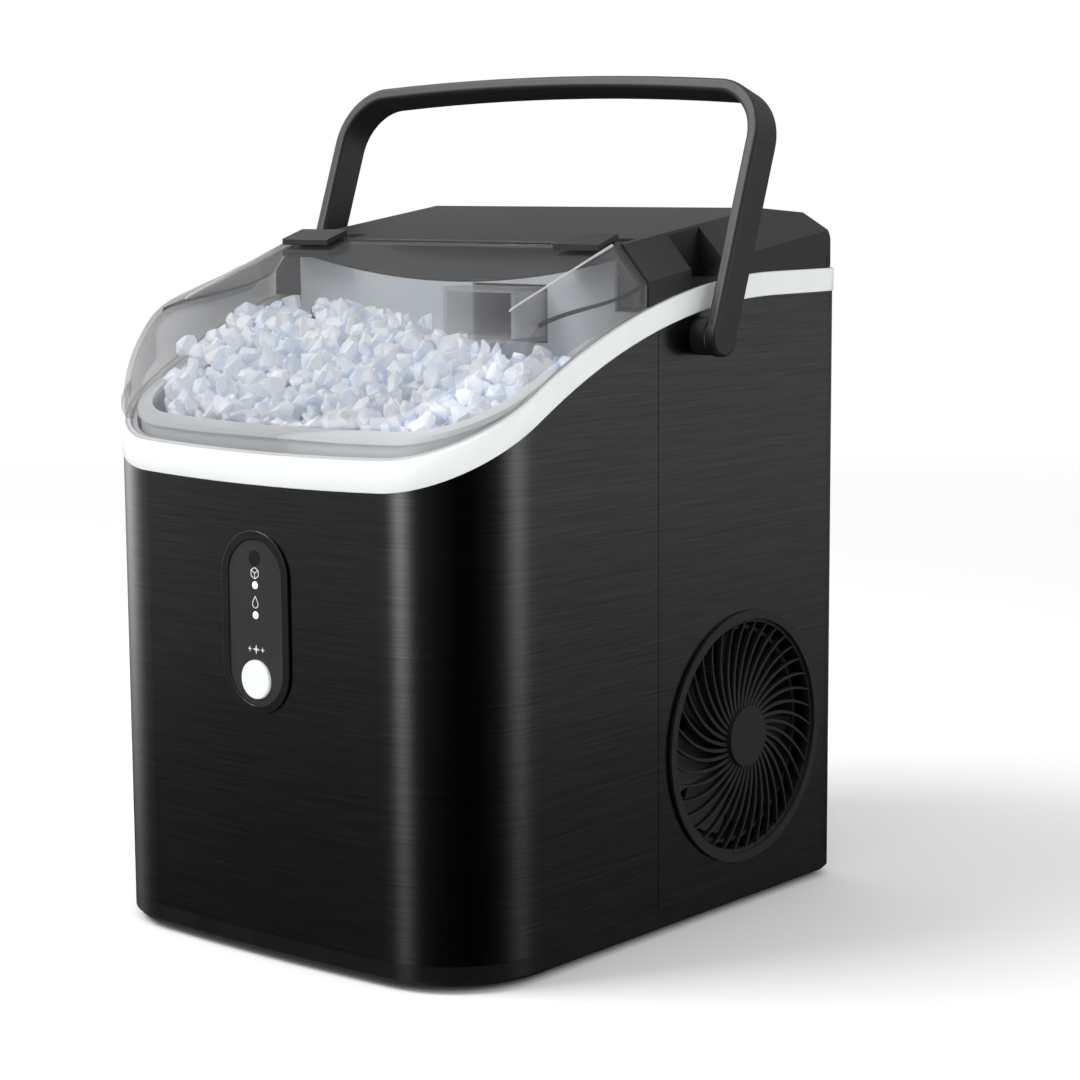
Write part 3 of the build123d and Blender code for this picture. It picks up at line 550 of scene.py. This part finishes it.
def lid_surface(bm):
    """Rings from the outline inwards, the open middle as rows, and the side walls below."""
    form = LidForm()
    rings = []
    wall_rows = 4
    rim = form.outline(0.0)
    for row in range(wall_rows):
        share = row / wall_rows
        ring = []
        for x, y in rim:
            edge = form.top(y) - form.drop(0.0, y)
            ring.append(bm.verts.new((x, y, form.foot(y) + (edge - form.foot(y)) * share)))
        rings.append(ring)
    for inset in [step * MM for step in form.steps]:
        places = [(x, y, form.top(y) - form.drop(inset, y)) for x, y in form.outline(inset)]
        rings.append([bm.verts.new(place) for place in places])
    for outer, inner in zip(rings, rings[1:]):
        for a, b, c, d in zip(outer, outer[1:], inner[1:], inner):
            bm.faces.new((a, b, c, d))
    last = rings[-1]
    ends = form.sides + form.turns
    front = last[ends:len(last) - ends]
    rows = [front]
    for i in range(form.sides - 1, -1, -1):
        right, left = last[i], last[len(last) - 1 - i]
        row = [right]
        share = i / form.sides
        for vertex in front[1:-1]:
            y = form.back + (vertex.co.y - form.back) * share
            row.append(bm.verts.new((vertex.co.x, y, form.top(y))))
        rows.append(row + [left])
    for near, far in zip(rows, rows[1:]):
        for a, b, c, d in zip(near, near[1:], far[1:], far):
            bm.faces.new((a, b, c, d))
    bmesh.ops.remove_doubles(bm, verts=bm.verts, dist=0.02 * MM)
    bmesh.ops.dissolve_degenerate(bm, edges=bm.edges, dist=0.01 * MM)


def finger_tab(bm):
    """Small lip at the front left corner, to lift the lid by."""
    form = LidForm()
    depth, above_foot, last = 1.5 * MM, 8.0, 8
    points = []
    for i in range(last + 1):
        angle = math.radians(-152 + 5 * i)
        proud = depth * math.sin(math.pi * i / last) ** 0.5 if 0 < i < last else 0.0
        points.append((angle, form.corner + proud))
    rows = []
    for height, shrink in ((-2.0, 0.5 * MM), (-1.2, 0.0), (1.2, 0.0), (2.0, 0.5 * MM)):
        ring = []
        for angle, radius in points:
            for reach in (form.corner - depth, radius - shrink):
                x = -(form.half - form.corner) + reach * math.cos(angle)
                y = form.corner_y + reach * math.sin(angle)
                ring.append(bm.verts.new((x, y, form.foot(y) + (above_foot + height) * MM)))
        rows.append(ring)
    for low, high in zip(rows, rows[1:]):
        for i in range(last):
            bm.faces.new((low[2 * i + 1], low[2 * i + 3], high[2 * i + 3], high[2 * i + 1]))
            bm.faces.new((low[2 * i], high[2 * i], high[2 * i + 2], low[2 * i + 2]))
        for end in (0, last):
            bm.faces.new((low[2 * end], low[2 * end + 1], high[2 * end + 1], high[2 * end]))
    for ring in (rows[0], rows[-1]):
        for i in range(last):
            bm.faces.new((ring[2 * i], ring[2 * i + 1], ring[2 * i + 3], ring[2 * i + 2]))


def crease_beads(inset):
    """Mesh maker for the beads along both sides of the lid, on the crease at some inset; they carry the painted
    highlight and shade lines of the creases.
    """
    half_wide, proud = 0.45 * MM, 0.35 * MM

    def fill(bm):
        form = LidForm()
        for side in (1, -1):
            before = None
            for x, y in form.outline(inset)[1:form.sides]:
                ring = []
                for out, up in ((-1, -1), (1, -1), (1, 1), (-1, 1)):
                    reach = x + out * half_wide
                    own_inset = form.half - reach if reach <= form.half else inset
                    height = form.top(y) - form.drop(own_inset, y) + up * proud
                    ring.append(bm.verts.new((side * reach, y, height)))
                if before:
                    for i in range(4):
                        j = (i + 1) % 4
                        bm.faces.new((before[i], before[j], ring[j], ring[i]))
                else:
                    bm.faces.new(ring)
                before = ring
            bm.faces.new(before)

    return fill


def smooth(piece, angle=30.0):
    """Smooth shading with creases where faces turn sharply."""
    mesh = piece.data
    mesh.polygons.foreach_set("use_smooth", [True] * len(mesh.polygons))
    mesh.set_sharp_from_angle(angle=math.radians(angle))
    return piece


def lid():
    """The shell in place of the plain packed one, with its finger tab and crease beads."""
    shell = new_piece("clear_lid_shell", lid_surface, FINISHES["clear_lid"], "lid")
    smooth(shell, 40.0)
    thick = shell.modifiers.new("wall", "SOLIDIFY")
    thick.thickness = LidForm.wall
    thick.offset = -1
    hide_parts("lid_shell")
    tab = new_piece("lid_finger_tab", finger_tab, FINISHES["clear_lid"], "lid")
    smooth(tab)
    # The pale inner beads are a painted highlight along the side creases, the dark outer beads a painted shade
    # line along the lid's edge.
    pale, dark = lid_edge("crease_painted_highlight", 0.8, 0.5), lid_edge("crease_painted_shade", 0.05, 0.6)
    for name, inset, finish in (("inner", LidForm.side_chamfer, pale), ("outer", 0.3 * MM, dark)):
        new_piece(f"lid_{name}_creases", crease_beads(inset), finish, "lid")


# ---------------------------------------------------------------- pictograms
def flat_mark(name, strokes, middle, finish):
    """A raised printed mark on the panel plate, from polygons in millimetres across and up."""
    face_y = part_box("panel_plate")[0].y
    thick = 0.12 * MM

    def fill(bm):
        for stroke in strokes:
            front = [bm.verts.new((x * MM, face_y - thick, middle + z * MM)) for x, z in stroke]
            back = [bm.verts.new((x * MM, face_y + 0.02 * MM, middle + z * MM)) for x, z in stroke]
            bm.faces.new(front)
            bm.faces.new(reversed(back))
            count = len(stroke)
            for i in range(count):
                j = (i + 1) % count
                bm.faces.new((front[i], back[i], back[j], front[j]))

    return new_piece(name, fill, finish, "casing")


def stroke(start, end, width=0.35):
    """A straight bar between two points."""
    (x0, z0), (x1, z1) = start, end
    length = math.hypot(x1 - x0, z1 - z0)
    nx, nz = -(z1 - z0) / length * width / 2, (x1 - x0) / length * width / 2
    return [(x0 + nx, z0 + nz), (x1 + nx, z1 + nz), (x1 - nx, z1 - nz), (x0 - nx, z0 - nz)]


def outline_strokes(points, width=0.35):
    """Bars along a closed outline."""
    return [stroke(a, b, width) for a, b in zip(points, points[1:] + points[:1])]


def cube_mark():
    """An ice cube seen from a corner."""
    size = 2.5
    turns = [math.radians(60 * i) for i in range(6)]
    hexagon = [(size * math.sin(turn), size * math.cos(turn)) for turn in turns]
    return outline_strokes(hexagon) + [stroke((0, 0), hexagon[i]) for i in (1, 3, 5)]


def drop_mark():
    """A water drop."""
    points = [(0, 2.8)]
    points += [(1.7 * math.cos(math.radians(a)), -0.6 + 1.7 * math.sin(math.radians(a)))
               for a in range(30, -211, -20)]
    return outline_strokes(points)


def rinse_mark():
    """Three four-pointed sparkles in a row, for the cleaning button."""
    stars = []
    for x, size in ((-3.9, 1.3), (0, 2.1), (3.9, 1.3)):
        reaches = [size if i % 2 == 0 else 0.3 * size for i in range(8)]
        turns = [math.radians(45 * i) for i in range(8)]
        stars.append([(x + r * math.cos(a), r * math.sin(a)) for r, a in zip(reaches, turns)])
    return stars


def pictograms():
    """Generic marks over the two indicator lights and the button."""
    (_, _, leds_low), (_, _, leds_high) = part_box("indicator_leds")
    button_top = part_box("function_button")[1].z
    radius = 1.6 * MM
    print_white = milky("print_white", (0.8, 0.81, 0.82), 0.0)
    flat_mark("ice_full_mark", cube_mark(), leds_high - radius + 5.2 * MM, print_white)
    flat_mark("add_water_mark", drop_mark(), leds_low + radius + 5.4 * MM, print_white)
    flat_mark("rinse_mark", rinse_mark(), button_top + 3.6 * MM, print_white)


# ---------------------------------------------------------------- studio
def camera():
    """Looks down on the front corner from the right of the panel."""
    azimuth, elevation, roll = math.radians(39.826), math.radians(8.077), math.radians(0.344)
    data = bpy.data.cameras.new("camera")
    data.sensor_width = 36.0
    data.lens = 87.69
    data.clip_start = 0.05
    cam = bpy.data.objects.new("camera", data)
    turn = Euler((math.pi / 2 - elevation, 0, azimuth)).to_matrix() @ Matrix.Rotation(-roll, 3, "Z")
    cam.matrix_world = Matrix.Translation((0.8055, -0.915, 0.3419)) @ turn.to_4x4()
    bpy.context.scene.collection.objects.link(cam)
    bpy.context.scene.camera = cam


def soft_box(name, place, target, size, power):
    """A wide area light that faces the target."""
    data = bpy.data.lights.new(name, "AREA")
    data.shape = "RECTANGLE"
    data.size, data.size_y = size
    data.energy = power
    lamp = bpy.data.objects.new(name, data)
    lamp.location = place
    lamp.rotation_mode = "QUATERNION"
    lamp.rotation_quaternion = (Vector(target) - Vector(place)).to_track_quat("-Z", "Y")
    bpy.context.scene.collection.objects.link(lamp)
    return lamp


def room():
    """White surroundings for the eye and for soft light; strips and a dark flag for what gloss mirrors."""
    world = bpy.data.worlds.new("room")
    bpy.context.scene.world = world
    world.use_nodes = True
    paint = Paint(tree=world.node_tree)
    way = paint.node("ShaderNodeTexCoord", out="Generated")
    x, y, z = paint.parts(way, "XYZ")
    heading = paint.maths("ARCTAN2", x, 0 - y)

    def strip(middle, width):
        """A soft upright band of light, by its heading from the front towards the right."""
        away = (heading - math.radians(middle)) * (1 / math.radians(width))
        return paint.maths("EXPONENT", 0 - away * away)

    flag = 1 - strip(56.0, 38.0)
    sides = strip(-45.0, 26.0) * 0.2 + strip(140.0, 24.0) * 0.34
    corners = strip(-10.0, 8.0) * 3.4 + strip(114.0, 12.0) * 1.5 + strip(-92.0, 20.0) * 2.0
    mirrored = flag * 0.18 + sides + corners
    low = paint.ramp(z + 0.5, (0.26, 0.12), (0.41, 1.0))
    high = paint.ramp(z, (0.05, 0.0), (0.6, 1.0))
    mirrored = mirrored * low + high * 0.34
    gloss = paint.node("ShaderNodeLightPath", out="Is Glossy Ray")
    seen = paint.node("ShaderNodeLightPath", out="Is Camera Ray")
    level = gloss * mirrored + (1 - gloss) * (0.74 + seen * 0.26)
    shade = paint.node("ShaderNodeBackground", {}, {"Color": (1, 1, 1, 1), "Strength": level})
    paint.done(shade, kind="ShaderNodeOutputWorld")


def floor():
    """A wide pale floor that gloss doesn't mirror."""
    paint = Paint("pale_floor")
    cloud = paint.noise(3.0, 2.0)
    across, along = paint.parts(paint.place(), "XY")
    distance = (across * across + along * along) ** 0.5
    far = paint.ramp(distance * 0.25, (0.12, 0.0), (0.5, 1.0))
    pale = paint.mix(cloud, (0.96, 0.96, 0.96), (0.98, 0.98, 0.98))
    finish = paint.done(paint.surface(
        Base_Color=paint.mix(far, pale, (0.0, 0.0, 0.0)), Roughness=0.9, Specular_IOR_Level=0.0,
        Emission_Color=paint.mix(far, (0.0, 0.0, 0.0), (1.0, 1.0, 1.0)), Emission_Strength=1.0))
    bm = bmesh.new()
    bmesh.ops.create_grid(bm, x_segments=8, y_segments=8, size=14.0)
    mesh = bpy.data.meshes.new("floor")
    bm.to_mesh(mesh)
    bm.free()
    mesh.materials.append(finish)
    piece = bpy.data.objects.new("floor", mesh)
    bpy.context.scene.collection.objects.link(piece)
    piece.visible_glossy = False


def studio():
    """Camera, surroundings, floor and two soft lights."""
    camera()
    room()
    floor()
    middle = (0.0, 0.0, 0.2)
    soft_box("key", (-0.9, -1.1, 1.7), middle, (1.0, 1.0), 30.0)
    fill = soft_box("fill", (1.6, -0.6, 1.1), middle, (1.0, 1.0), 7.0)
    fill.visible_glossy = False
    bpy.context.scene.view_settings.view_transform = "Standard"


# ---------------------------------------------------------------- assembly
EDGE_ROUNDS = {
    "top_cover": 0.8, "handle_bail": 0.5, "white_trim_band": 0.6, "side_vent_grille": 0.25,
    "lid_hinge_clips": 0.3, "panel_bezel": 0.3, "function_button": 0.2,
}

dress_nodes()
for edged, width in EDGE_ROUNDS.items():
    soften(frame["nodes"][edged], width * MM)
new_piece("ice_nuggets", ice_heap, ice(), "basket")
lid()
pictograms()
studio()
